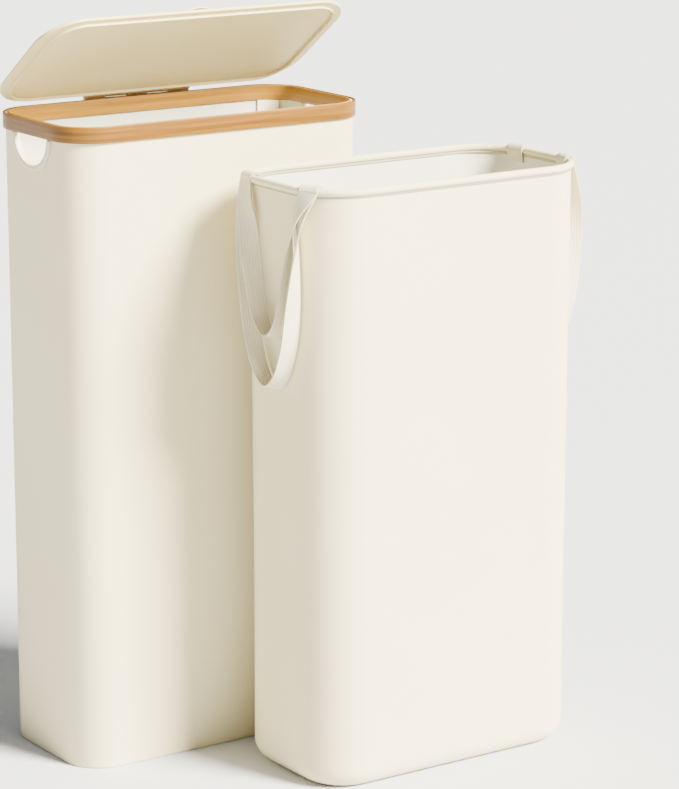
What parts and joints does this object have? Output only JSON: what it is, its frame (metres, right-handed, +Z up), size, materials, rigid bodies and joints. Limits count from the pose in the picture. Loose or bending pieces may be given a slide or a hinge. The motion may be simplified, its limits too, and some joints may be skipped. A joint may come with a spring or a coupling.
{
  "type": "laundry hamper with lift-out liner bag",
  "caption": "Tall slim laundry hamper with a bamboo rim, hinged lid and hand openings, and a lift-out fabric liner bag with webbing carry loops.",
  "frame": {"origin": "on the floor, at the centre of the hamper's base panel", "axes": "+Z up, +X along the hamper's long side, -Y is the hamper's front, where the liner bag stands"},
  "size_m": [0.5163, 0.3722, 0.7638],
  "materials": {
    "shell": "smooth matte",
    "bamboo": "satin, grain along the hoop",
    "moulded": "smooth satin",
    "steel": "brushed",
    "fabric": "close plain weave",
    "webbing": "ribbed webbing",
    "board": "matte board"
  },
  "bodies": {
    "hamper": {"hamper_wall": "shell", "base_panel": "shell", "base_board": "board", "rim_outer_hoop": "bamboo", "rim_inner_hoop": "bamboo", "corner_stay_back_left": "moulded", "corner_stay_back_right": "moulded", "corner_stay_front_left": "moulded", "corner_stay_front_right": "moulded", "hand_trim_left": "moulded", "hand_trim_right": "moulded", "hand_ring_left": "moulded", "hand_ring_right": "moulded", "hinge_rail": "bamboo", "hinge_pin": "steel", "rail_screw_1": "steel", "rail_screw_2": "steel", "rail_screw_3": "steel", "rail_screw_4": "steel"},
    "lid": {"lid_panel": "moulded", "lid_hinge_leaf": "bamboo", "leaf_screw_1": "steel", "leaf_screw_2": "steel", "leaf_screw_3": "steel", "leaf_screw_4": "steel", "lid_pull": "moulded", "pull_stud_1": "moulded", "pull_stud_2": "moulded"},
    "liner": {"liner_wall": "fabric", "liner_base": "fabric", "liner_board": "board", "liner_piping": "fabric", "rim_wire": "steel", "loop_tab_left_front": "webbing", "loop_tab_left_back": "webbing", "loop_tab_right_front": "webbing", "loop_tab_right_back": "webbing"},
    "left_loops": {"long_loop_left": "webbing", "short_loop_left": "webbing"},
    "right_loops": {"long_loop_right": "webbing", "short_loop_right": "webbing"}
  },
  "joints": [
    {"name": "lid_hinge", "type": "hinge", "parent": "hamper", "child": "lid", "pos_m": [0, 0.089, 0.6635], "axis": [-1, 0, 0], "range_deg": [-35, 65]},
    {"name": "liner_lift", "type": "slide", "parent": "hamper", "child": "liner", "axis": [0, 0, 1], "range_m": [0, 0.7]},
    {"name": "left_loops_swing", "type": "hinge", "parent": "liner", "child": "left_loops", "pos_m": [-0.0197, -0.2002, 0.6033], "axis": [0, 1, 0], "range_deg": [0, 165]},
    {"name": "right_loops_swing", "type": "hinge", "parent": "liner", "child": "right_loops", "pos_m": [0.3209, -0.1957, 0.6033], "axis": [0, -1, 0], "range_deg": [0, 165]}
  ]
}
